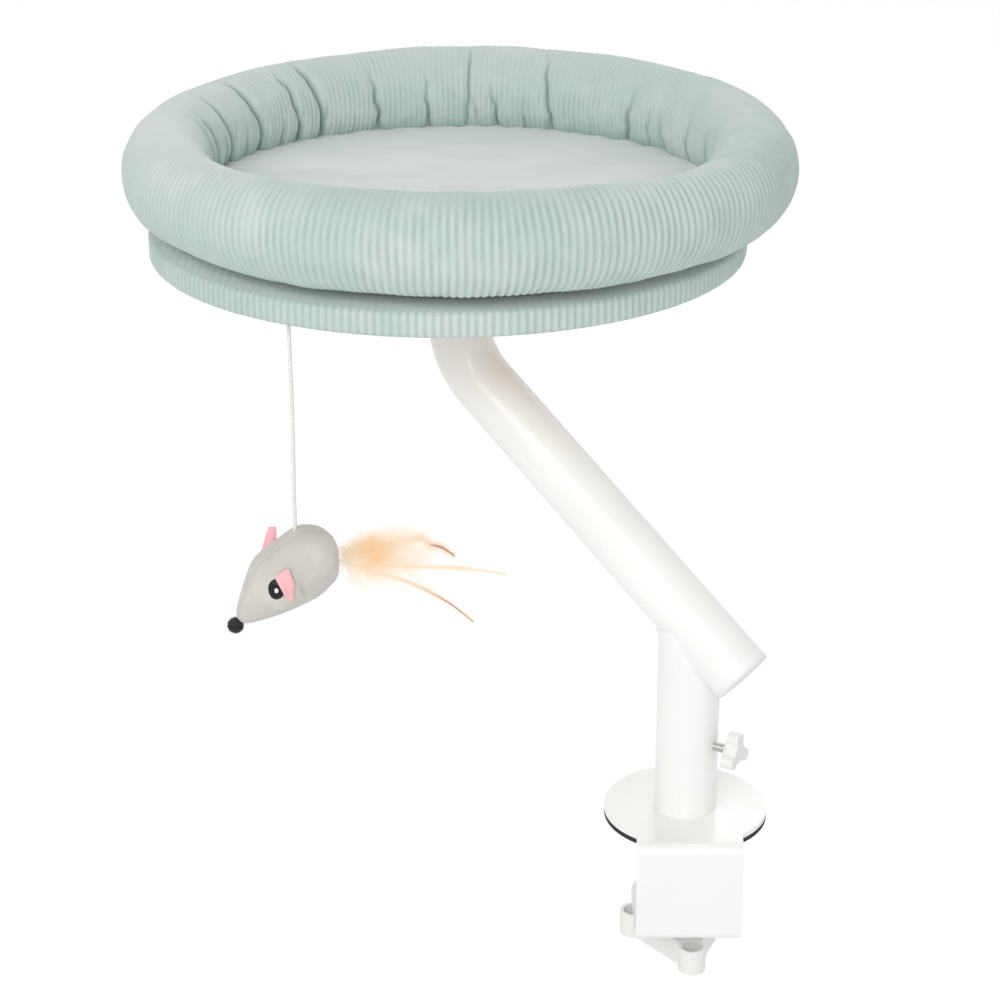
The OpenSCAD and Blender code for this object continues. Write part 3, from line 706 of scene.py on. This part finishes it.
def ringPull(degrees, section, creases):  # how far the creases draw the cloth in, and how much painted shade darkens them
    pull, creaseShade = 0.0, 0.0
    for middle, depth, reach, slant, width in creases:
        start = ring["seam"] - reach * ring["wall"]
        if not start - 6 < section < ring["under"]:
            continue
        wander = 0.8 * lumps(middle, section / 18)
        off = wrapped(degrees - middle - slant * (ring["seam"] - section) / ring["wall"] + wander)
        if abs(off) > 7:  # too far away to matter
            continue
        strength = smoothStep(start - 6, start + 62, section)
        strength *= 1 - 0.55 * smoothStep(205, 240, section) - 0.45 * smoothStep(250, ring["under"], section)
        side = math.copysign(1, slant)
        slope = width * (6 if off * side > 0 else 1.6)  # the cloth folds over from one side
        pull += depth * strength * (0.55 * bell(off, width * 0.8, 1) + 0.45 * bell(off, slope, 1.2))
        pull -= depth * 0.16 * strength * bell(off * side + width * 4, width * 2)
        creaseShade = max(creaseShade, strength * min(1, depth / 3) * bell(off, width * 0.7, 1.4))
    return pull, creaseShade


def uneven(kind, degrees):
    return sum(push * mm * bell(wrapped(degrees - middle), spread) for middle, spread, push in ring[kind])


def aroundPlace(kind, degrees):
    middle, spread = ring[kind]
    return bell(wrapped(degrees - middle), spread)


def addRing():
    size = ring["outer"] - ring["halfWidth"]
    creases = ringCreases()

    def shape(u, v):
        place, t = u * turn, v * turn
        degrees, section = u * 360, v * 360
        pull, creaseShade = ringPull(degrees, section, creases)
        x, y = math.cos(place), math.sin(place)
        around = Vector((x * (7 + math.cos(t)), y * (7 + math.cos(t)), math.sin(t)))
        broad, fine = ring["swells"]
        out = lumps(1, *(around * 0.45)) * broad + lumps(2, *(around * 1.5)) * fine
        out -= pull + ring["seamPull"] * bell(section - ring["seam"] - 8, 12)
        crown = smoothStep(40, 85, section) * (1 - smoothStep(130, 170, section))
        left = aroundPlace("wornAndLitLeft", degrees)
        kept = ring["walesKept"] + ring["wearRandom"] * lumps(8, *(around * 2.3))
        kept -= (ring["wearCrown"] + 0.1 * left) * crown + ring["wearLeft"] * left
        inner = smoothStep(120, 160, section) * (1 - smoothStep(240, 300, section))  # faint and patchy
        kept = max(ring["leastKept"], kept + inner * (0.7 * lumps(14, *(around * 5)) - 0.3))
        wale = kept * (0.5 - 0.5 * math.cos(place * ring["wales"] + 1.2 * lumps(12, *(around * 1.1)))) ** 1.4
        shift = out * mm - wale * ring["waleDepth"]
        shift -= uneven("slumped", degrees) * smoothStep(60, 110, section) * (1 - smoothStep(180, 215, section))
        reach = size + uneven("outward", degrees) + (ring["halfWidth"] + shift) * math.cos(t)
        height = (ring["halfHeight"] + shift + uneven("raised", degrees) * max(0, math.sin(t))) * math.sin(t)
        spot = ring["middle"] + Vector((reach * x, reach * y, height))
        # painted shade: the cloth is painted darker along the seam under the inner wall
        seamShade = 0.4 * smoothStep(186, 228, section) * (1 - smoothStep(240, 265, section))
        # painted light: the left of the crown and the back of the crown are painted paler, where the light
        # falls
        paintedLit = left * bell(wrapped(section - 75), 62)
        paintedLit += 0.55 * aroundPlace("litBack", degrees) * bell(section - 100, 38)
        # the values give where the grooves are painted darker as painted shade, the painted shade of the
        # creases and the seam, and the painted light on the crown
        return spot, wale, max(creaseShade, seamShade), paintedLit

    made = shapedGrid(ring["wales"] * ring["perWale"], ring["sides"], shape, "groove", "crease", "paintedLight")
    piece = asPiece(made, "corduroy_ring", "ringCloth", "cushion", "mint_corduroy", "bolster_ring", angle=180)


addRing()
print("ring made")


# The base's cover: corduroy over the edge of the board, turned in under it

base = {
    "radius": 179.98 * mm, "bottom": 335.5 * mm, "top": 350.8 * mm, "edge": 3.4 * mm, "wales": 242,
    "perWale": 6, "waleDepth": 0.38 * mm, "turnIn": 30 * mm, "cloth": 1.5 * mm, "pleats": 64,
}


def baseOutline():
    r, e, low, high, cloth = base["radius"], base["edge"], base["bottom"], base["top"], base["cloth"]
    inside = r - cloth - 0.5 * mm

    def corner(z, start):
        turned = [math.radians(start - 15 * i) for i in range(7)]
        return [(r - e + e * math.cos(a), z + e * math.sin(a)) for a in turned]

    outline = [(0, high), (r * 0.4, high), (r * 0.8, high), (r * 0.93, high)] + corner(high - e, 90)
    outline += [(r, high - e - (high - low - 2 * e) * i / 4) for i in (1, 2, 3)] + corner(low + e, 0)
    outline += [(r - base["turnIn"] * share, low) for share in (0.3, 0.5, 0.75, 1)]
    return outline + [(r - base["turnIn"], low + cloth), (inside, low + cloth), (inside, high - cloth),
                      (0, high - cloth)]


def addBase():
    outline = baseOutline()
    r, e, low = base["radius"], base["edge"], base["bottom"]

    def shape(u, v):
        reach, z = outline[min(round(v * (len(outline) - 1)), len(outline) - 1)]
        place = u * turn
        x, y = math.cos(place), math.sin(place)
        onSide = smoothStep(r - e * 1.5, r - e * 0.4, reach)
        wale = (0.5 - 0.5 * math.cos(place * base["wales"])) ** 1.5 * onSide
        swell = (0.3 * lumps(3, x * 9, y * 9, z * 60) + 0.25 * lumps(4, x * 30, y * 30)) * mm
        pleat = 0.0
        if z < low + 0.1 * mm and reach < r - e:  # gathered where it is turned in
            pleat = smoothStep(r - e, r - base["turnIn"], reach) * (0.4 + 0.4 * math.sin(
                place * base["pleats"] + 2 * math.sin(place * 7)))
        reach = max(0, reach + (swell - wale * base["waleDepth"]) * onSide)
        spot = Vector((baseMiddle.x + reach * x, baseMiddle.y + reach * y, z + pleat * mm))
        # groove gives where the grooves are painted darker as painted shade; flatCloth gives the flat cloth,
        # painted paler as painted light
        return spot, wale, 1 - onSide

    made = shapedGrid(base["wales"] * base["perWale"], len(outline) - 1, shape, "groove", "flatCloth")
    asPiece(made, "corduroy_base", "baseCloth", "arm", "mint_corduroy", "base_cover", angle=60)


addBase()
print("base made")


# The plush floor of the cushion, puckered where it is sewn to the ring, and its white stitches below

floorPad = {
    "radius": 157 * mm, "bottom": 352.9 * mm, "top": 372.8 * mm, "crown": 0.9 * mm, "rings": 44,
    "around": 360, "puckers": 52,
    # The underside sags outside the patches, so no light shows above the base: reach and height in mm
    "rim": [(1, 0.6), (-2, -1.3), (-8, -1.7), (-16, -1.2), (-24, 0)],
    "stitches": 210, "stitchRadius": 158.6 * mm, "stitchHeight": 354.2 * mm,
    "stitchHalf": (0.45 * mm, 1.7 * mm, 0.4 * mm),
}


def padOutline():
    r, low, high = floorPad["radius"], floorPad["bottom"], floorPad["top"]
    outline = []
    for i in range(floorPad["rings"] + 1):
        share = (i / floorPad["rings"]) ** 0.75
        outline.append((r * share, high - floorPad["crown"] * share ** 2))
    edge = outline[-1][1]
    outline += [(r + 2.6 * mm, edge - 0.8 * mm), (r + 3.4 * mm, edge - 3 * mm), (r + 2 * mm, (edge + low) / 2)]
    outline += [(r + reach * mm, low + height * mm) for reach, height in floorPad["rim"]]
    return outline + [(r * 0.5, low), (0, low)]


def addFloorPad():
    outline = padOutline()
    r, low = floorPad["radius"], floorPad["bottom"]

    def shape(u, v):
        reach, z = outline[min(round(v * (len(outline) - 1)), len(outline) - 1)]
        place = u * turn
        x, y = reach * math.cos(place), reach * math.sin(place)
        if z > low + 8 * mm:
            share = reach / r
            wave = lumps(5, x * 16, y * 16) * 0.8 + lumps(6, x * 45, y * 45) * 0.22
            pucker = math.sin(place * floorPad["puckers"] + 4 * math.sin(place * 5)) - 0.5
            z += (wave * (1 - share ** 8) + smoothStep(0.8, 1.0, share) * pucker * 0.45) * mm
        return [Vector((ring["middle"].x + x, ring["middle"].y + y, z))]

    made = shapedGrid(floorPad["around"], len(outline) - 1, shape)
    piece = asPiece(made, "plush_floor", "plush", "cushion", "floor_plush", "floor_pad", angle=180)


def addStitches():
    made = bmesh.new()
    count, r = floorPad["stitches"], floorPad["stitchRadius"]
    for i in range(count):
        a = turn * i / count
        x, y = ring["middle"].x + r * math.cos(a), ring["middle"].y + r * math.sin(a)
        place = Matrix.Translation((x, y, floorPad["stitchHeight"])) @ Matrix.Rotation(a, 4, "Z")
        bmesh.ops.create_icosphere(made, subdivisions=1, radius=1,
                                   matrix=place @ Matrix.Diagonal((*floorPad["stitchHalf"], 1)))
    asPiece(made, "cushion_stitches", "string", "cushion", "mint_corduroy")


addFloorPad()
addStitches()
print("floor pad made")


# The mouse: stations from the rump to the snout in mm from the string, with their girths

mouse = {
    "spine": [
        (24.2, -18.0, 4.1), (23.8, -17.8, 8.4), (22.1, -17.2, 12.9), (17.6, -15.8, 17.4), (10.9, -16.2, 20.3),
        (3.5, -20.5, 21.1), (-4.1, -25.4, 21.1), (-11.3, -30.4, 19.7), (-18.2, -36.4, 16.0),
        (-25.6, -43.6, 11.0), (-31.2, -48.8, 6.6), (-34.2, -51.6, 2.9),
    ],
    "turn": math.radians(17), "width": 0.94, "sides": 96, "steps": 110, "tilt": math.radians(-45),
    # Places round the girth in degrees, and the share of the length that the rump and the snout round off
    "backSeam": 20, "bellySeam": 172, "fold": 104, "rounded": (0.03, 0.02),
    "nose": (-37.2, -54.4, 5.0), "hairs": 1300,
}
mouseFrame = Matrix.Translation(mouseTop) @ Matrix.Rotation(mouse["turn"], 4, "Z")


def asMousePiece(made, name, look, slot, *replaced, angle=35):
    return asPiece(made, name, look, "mouse", slot, *replaced, angle=angle, place=mouseFrame)


def addMouse():
    def shape(u, v):
        share = 0.5 - 0.5 * math.cos(math.pi * v)
        x, z, girth = through(mouse["spine"], share)
        lean = -mouse["tilt"] * smoothStep(0.05, 0.7, share)
        crown = Vector((-math.sin(lean), 0, math.cos(lean)))
        degrees, a = u * 360, u * turn
        rump, snout = mouse["rounded"]
        close = min(1, v / rump, (1 - v) / snout)
        dome = math.sqrt(max(0, close * (2 - close)))  # both ends close to a point
        out = crown * math.cos(a) + Vector((0, -1, 0)) * math.sin(a)
        spot = Vector((x, 0, z)) + Vector((out.x, out.y * mouse["width"], out.z)) * girth * dome
        seam = bell(wrapped(degrees - mouse["backSeam"]), 1.6)
        seam *= smoothStep(0.12, 0.3, share) * (1 - smoothStep(0.85, 1, share))
        belly = bell(wrapped(degrees - mouse["bellySeam"]), 2) * smoothStep(0.1, 0.3, share)
        off = degrees - mouse["fold"]
        fold = bell(off / 16, 1) * bell((share - 0.545 - off * 0.0012) / 0.014, 1)
        soft = lumps(9, *(spot * 0.055)) * 0.7 + lumps(10, *(spot * 0.14)) * 0.25
        spot += out * dome * (soft - seam * 0.35 - belly * 0.3 - fold * 0.9)
        # the seam value darkens the seams and puts painted shade in the fold
        return spot * mm, min(1, seam * 0.5 + belly * 0.5 + fold)

    made = shapedGrid(mouse["sides"], mouse["steps"], shape, "seam")
    tree = BVHTree.FromBMesh(made)
    piece = asMousePiece(made, "mouse_plush", "mouse", "grey_plush", "mouse_body", angle=180)
    return tree


def onSkin(x, z, side):  # where a line across the mouse meets its plush, and the way out of it
    outside = Vector((x, side * 60 * mm, z))
    place, normal = skin.ray_cast(outside, Vector((0, -side, 0)))[:2]
    return place, normal * math.copysign(1, normal.y * side)


def addNose():
    x, z, radius = (value * mm for value in mouse["nose"])
    made = bmesh.new()
    middle = Vector((x, 0, z))
    bmesh.ops.create_icosphere(made, subdivisions=4, radius=radius * 0.88, matrix=Matrix.Translation(middle))
    for vert in made.verts:
        bumps = 0.09 * noise.noise(vert.co * 1500) + 0.05 * noise.noise(vert.co * 400)
        vert.co += (vert.co - middle) * bumps
    dice = random.Random(3)
    for i in range(mouse["hairs"]):
        out = dicePoint(dice).normalized()
        spin = (out + dicePoint(dice, 0.25)).to_track_quat("Z", "Y").to_matrix().to_4x4()
        root = middle + out * radius * 0.84
        hair = bmesh.ops.create_circle(made, segments=3, radius=0.1 * mm,
                                       matrix=Matrix.Translation(root) @ spin)["verts"]
        tip = made.verts.new(root + spin.to_3x3() @ Vector((0, 0, dice.uniform(0.9, 1.3) * mm)))
        for j in range(3):
            made.faces.new((hair[j], hair[(j + 1) % 3], tip))
    asMousePiece(made, "mouse_pompom_nose", "pompom", "black_pompom", "mouse_nose")


eye = {
    "place": (-15.8 * mm, -27.3 * mm), "half": (4.5 * mm, 6.4 * mm), "thick": 1.1 * mm,
    "glint": (1.15 * mm, 1.6 * mm), "glintLift": 1.0 * mm, "glintThick": 0.28 * mm,
    # Outline of a button from its middle to its rim and back under it: reach and height
    "outline": [(0, 1), (0.3, 0.98), (0.55, 0.92), (0.75, 0.8), (0.88, 0.6), (0.96, 0.35), (1, 0.05), (1, -0.5),
                (0.9, -0.8), (0, -0.8)],
}


def addButton(made, half, lift, thick, side):  # a domed oval button that lies on the head
    outline = eye["outline"]
    x, z = eye["place"]
    outward = onSkin(x, z, side)[1]

    def shape(u, v):
        reach, height = outline[round(v * (len(outline) - 1))]
        across, rise = half[0] * reach * math.cos(u * turn), half[1] * reach * math.sin(u * turn)
        return [onSkin(x + across, z + rise, side)[0] + outward * (lift + thick * height)]

    addInto(made, shapedGrid(40, len(outline) - 1, shape))


def addEyes():
    black, white = bmesh.new(), bmesh.new()
    for side in (-1, 1):
        addButton(black, eye["half"], 0, eye["thick"], side)
        # the white dots are painted glints on the black buttons
        addButton(white, eye["glint"], eye["glintLift"], eye["glintThick"], side)
    asMousePiece(black, "mouse_eye_buttons", "button", "eye_plastic", "mouse_eyes", angle=50)
    asMousePiece(white, "mouse_eye_glints", "glint", "eye_plastic", angle=50)


ear = {
    "thick": 1.2 * mm, "root": -6.5 * mm,
    # Corners of each leaf in mm from the string: one ear lies folded on the head, the other stands up
    "folded": [(-16.2, -19.6), (-8.6, -14.4), (-6.1, -22.2), (-6.9, -34.2), (-10.2, -33.4)],
    "standing": [(-13.1, 0), (-9.1, 0.2), (-9.2, -8.5), (-11.5, -15), (-17.5, -16.5), (-17.6, -13)],
}


def addEar(made, outline, seat):  # seat(x, z) gives the place of a point of the flat leaf
    leaf = bmesh.new()
    face = leaf.faces.new([leaf.verts.new((x * mm, 0, z * mm)) for x, z in outline])
    bmesh.ops.triangulate(leaf, faces=[face])
    bmesh.ops.subdivide_edges(leaf, edges=leaf.edges, cuts=5, use_grid_fill=True)
    for vert in leaf.verts:
        vert.co = seat(vert.co.x, vert.co.z)
    bmesh.ops.solidify(leaf, geom=leaf.faces, thickness=ear["thick"])
    addInto(made, leaf)


def foldedSeat(x, z):  # close to the head at its root, and off it at the free end
    place, outward = onSkin(x, z, -1)
    ridge = bell((x + 8.5 * mm + (z + 15 * mm) * 0.08) / (1.6 * mm), 1) * 0.5 * mm
    return place + outward * (0.7 * mm + 0.14 * (ear["root"] - x) + ridge)


def standingSeat(x, z):  # bowed across, and leaning off the head
    across = x + 12 * mm - 0.25 * (z + 10 * mm)
    return Vector((x, 9.5 * mm + across ** 2 / (9 * mm) + 0.1 * (z + 13 * mm), z))


def addEars():
    made = bmesh.new()
    addEar(made, ear["folded"], foldedSeat)
    addEar(made, ear["standing"], standingSeat)
    asMousePiece(made, "mouse_felt_ears", "felt", "pink_felt", "mouse_ears", angle=60)


skin = addMouse()
addNose()
addEyes()
addEars()
print("mouse made")


# Feathers: soft down round the tail and three long feathers

down = {
    "root": Vector((22, 0, -18.5)) * mm, "middle": Vector((57, 0, -23)) * mm, "reach": (34, 12, 24),
    "count": 330, "barbs": 20, "seed": 21, "glow": Vector((46, 0, -18.5)) * mm,
}
plumes = [
    # Points of each shaft in mm, half width of its vane, how its brown begins and ends along it
    {"shaft": [(40, 0, -22), (58, 1, -16.5), (74, 2, -13.8), (81, 2, -18.6), (88.5, 3, -22), (96.5, 3, -28.5)],
     "half": 4.6, "brown": (0.55, 0.66)},
    {"shaft": [(42, 0, -27), (64, -2, -29), (85, -3, -32), (102, -3, -35), (127.5, -3, -42)], "half": 3.0,
     "brown": (2, 3)},
    {"shaft": [(36, 0, -26), (54, 2, -35), (70, 3, -43), (83, 3, -51.3), (95.2, 4, -60.8), (108.5, 4, -73.8)],
     "half": 3.2, "brown": (0.3, 0.9)},
]


def addBarbs(made, layer, dice, spine, span, count, length, width, lean, value):
    # Fine hairs on both sides of a shaft, spine(t) being its line and length(t) their length
    for i in range(count):
        t = span[0] + (span[1] - span[0]) * (i + dice.random()) / count
        here = spine(t)
        along = (spine(min(1, t + 0.03)) - spine(max(0, t - 0.03))).normalized()
        side = along.cross(dicePoint(dice, 0.25) + Vector((0, 1, 0))).normalized()
        for way in (-1, 1):
            barb = (side * way + along * lean).normalized()
            reach = length(t) * dice.uniform(0.7, 1.1)
            droop = dicePoint(dice, 0.12) + Vector((0, 0, -0.05))
            places = [here + (barb + droop * k / 4) * reach * k / 4 for k in range(5)]
            widths = [width * (1 - 0.8 * k / 4) for k in range(5)]
            facing = along.cross(barb).cross(barb).normalized()
            ribbon(made, layer, places, widths, facing, [value(t, k / 4) for k in range(5)])


def addDown():
    dice = random.Random(down["seed"])
    made = bmesh.new()
    layer = made.verts.layers.float.new("depth")
    for i in range(down["count"]):
        aim = dicePoint(dice).normalized() * dice.uniform(0.25, 1) ** 0.6
        end = down["middle"] + Vector([way * reach * mm for way, reach in zip(aim, down["reach"])])
        root = down["root"] + Vector((dice.uniform(0, 16), dice.gauss(0, 2.5), dice.gauss(0, 4.5))) * mm
        bow = Vector((end.x - root.x, 0, (end.z - root.z) * dice.uniform(-0.3, 0.9))) * 0.5
        bow += dicePoint(dice, 2.5 * mm)
        stray = dice.uniform(-0.15, 0.2)

        def spine(t):
            return root * (1 - t) ** 2 + (root + bow) * (2 * t * (1 - t)) + end * t * t

        def paleness(t, k):
            return (spine(t) - down["glow"]).length / (20 * mm) + k * 0.2 + stray

        addBarbs(made, layer, dice, spine, (0.3, 1), down["barbs"], lambda t: (3 + 4 * t) * mm, 0.045 * mm,
                 1.1, paleness)
        shaft = [spine(k / 6) for k in range(7)]
        ribbon(made, layer, shaft, [0.08 * mm * (1 - k / 8) for k in range(7)],
               (end - root).cross(dicePoint(dice)).normalized(), [paleness(k / 6, 0) for k in range(7)])
    asMousePiece(made, "tail_down", "down", "feather", "feather_fluff", angle=180)


def addPlumes():
    dice = random.Random(5)
    made = bmesh.new()
    layer = made.verts.layers.float.new("brown")
    for plume in plumes:
        points = [Vector(point) * mm for point in plume["shaft"]]
        low, high = plume["brown"]
        half = plume["half"] * mm

        def spine(t):
            return through(points, t)

        def brown(t, k):
            return smoothStep(low, high, t) * (1 - smoothStep(0, 0.35, k))

        def barbLength(t):
            return half * (0.3 + math.sin(math.pi * min(1, t * 0.98)) ** 0.6)

        addBarbs(made, layer, dice, spine, (0.1, 0.99), 260, barbLength, 0.13 * mm, 1.5, brown)
        bare = len(made.verts)
        tubeAlong(made, [spine(k / 30) for k in range(31)], lambda share: 0.42 * mm * (1 - 0.8 * share), 6,
                  closed=False)
        made.verts.ensure_lookup_table()
        for i, vert in enumerate(made.verts[bare:]):
            vert[layer] = smoothStep(low, high, i // 6 / 30)
    asMousePiece(made, "tail_feathers", "vane", "feather", "feather_plumes", angle=180)


addDown()
addPlumes()
print("feathers made")


# Stage, lamps and world

white = (1, 1, 1, 1)
stage = {"floor": -0.111, "size": 12, "white": 0.93, "glow": 0.86, "strength": 1.06, "world": 0.6}
lamps = {
    # Name: place, aim, diameter and power
    "key": ((-1.5, -2.0, 1.75), (-0.1, 0.05, 0.25), 1.0, 13.5),
    "front": ((-0.4, -2.6, 1.6), (-0.1, 0.05, 0.3), 0.9, 22),
    "fill": ((1.9, -1.4, 0.9), (-0.1, 0.05, 0.2), 1.6, 1.2),
    "back": ((0.6, 2.0, 1.7), (-0.1, 0.05, 0.3), 1.4, 9),
}


def bareView(s):  # 1 for what the camera sees straight, in a gloss or through glass
    straight, gloss, glass = s.node("ShaderNodeLightPath", output=(
        "Is Camera Ray", "Is Glossy Ray", "Is Transmission Ray"))
    return straight.maths("MAXIMUM", gloss).maths("MAXIMUM", glass)


def mixShaders(s, share, first, second):
    return s.node("ShaderNodeMixShader", {}, (share, first, second))


def addFloor():
    made = bmesh.new()
    bmesh.ops.create_grid(made, x_segments=1, y_segments=1, size=stage["size"],
                          matrix=Matrix.Translation((0, 0, stage["floor"])))
    floor = addObject("floor", asMesh(made, "floor"))
    s = Shader("pale_floor")
    dull = s.node("ShaderNodeBsdfDiffuse", {}, {"Color": (stage["white"],) * 3 + (1,)})
    glow = s.node("ShaderNodeEmission", {}, {"Color": white, "Strength": stage["strength"]})
    below = s.node("ShaderNodeNewGeometry", output="Backfacing")  # clear from below, for low views
    clear = s.node("ShaderNodeBsdfTransparent")
    seen = mixShaders(s, bareView(s) * stage["glow"], dull, glow)
    floor.data.materials.append(s.show(mixShaders(s, below, seen, clear)))


def addLamp(name):
    place, aim, size, power = lamps[name]
    data = bpy.data.lights.new(name, "AREA")
    data.shape = "DISK"
    data.size = size
    data.energy = power
    lamp = addObject(name, data)
    lamp.location = place
    lamp.rotation_euler = (Vector(aim) - Vector(place)).to_track_quat("-Z", "Y").to_euler()


def addWorld():
    world = bpy.data.worlds.new("studio")
    bpy.context.scene.world = world
    s = Shader("studio", world)
    skies = [s.node("ShaderNodeBackground", {}, {"Color": white, "Strength": strength})
             for strength in (stage["world"], 1)]
    s.show(mixShaders(s, bareView(s), *skies), "ShaderNodeOutputWorld")


addFloor()
for lamp in lamps:
    addLamp(lamp)
addWorld()
bpy.context.scene.view_settings.view_transform = "Standard"
print("stage ready")
